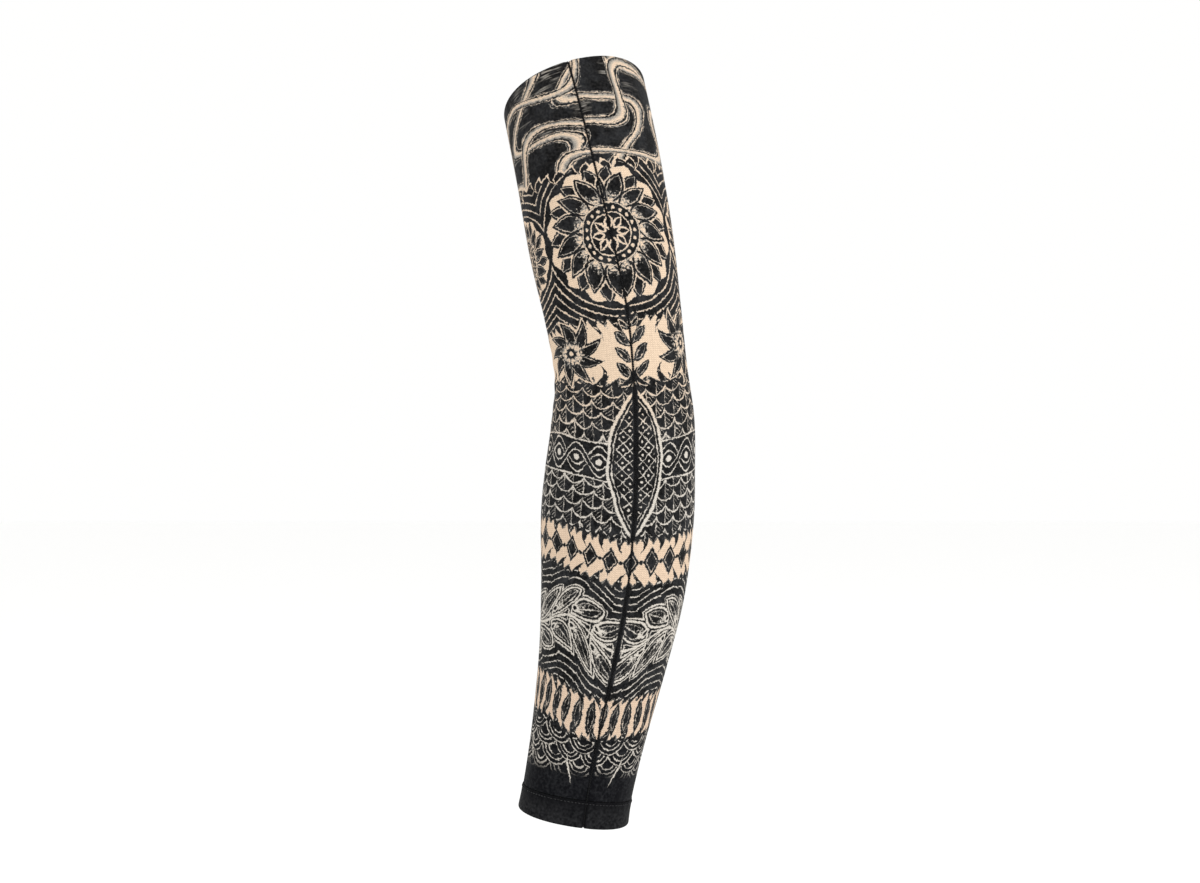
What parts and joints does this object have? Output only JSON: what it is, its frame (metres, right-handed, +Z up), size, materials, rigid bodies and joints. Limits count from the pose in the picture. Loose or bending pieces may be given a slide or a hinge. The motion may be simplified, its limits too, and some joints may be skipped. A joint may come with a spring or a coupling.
{
  "type": "arm sleeve",
  "caption": "Tubular printed knit arm sleeve from upper arm to wrist, gently bent at the elbow, closed by a lengthwise seam and ended by a plain wrist band.",
  "frame": {"origin": "centre of the upper-arm mouth, where the arm goes in", "axes": "+Z up along the hanging sleeve towards the shoulder, -Y the front that the seam runs down, +X the side that the elbow points to"},
  "size_m": [0.105, 0.0995, 0.4156],
  "materials": {
    "printed_knit": "fine smooth knit printed in black on ecru",
    "black_knit": "fine smooth knit, plain black",
    "black_thread": "sewn thread, slight sheen"
  },
  "bodies": {
    "root": {"sleeve_panel": "printed_knit", "wrist_band": "black_knit", "long_seam": "black_thread"}
  },
  "joints": []
}
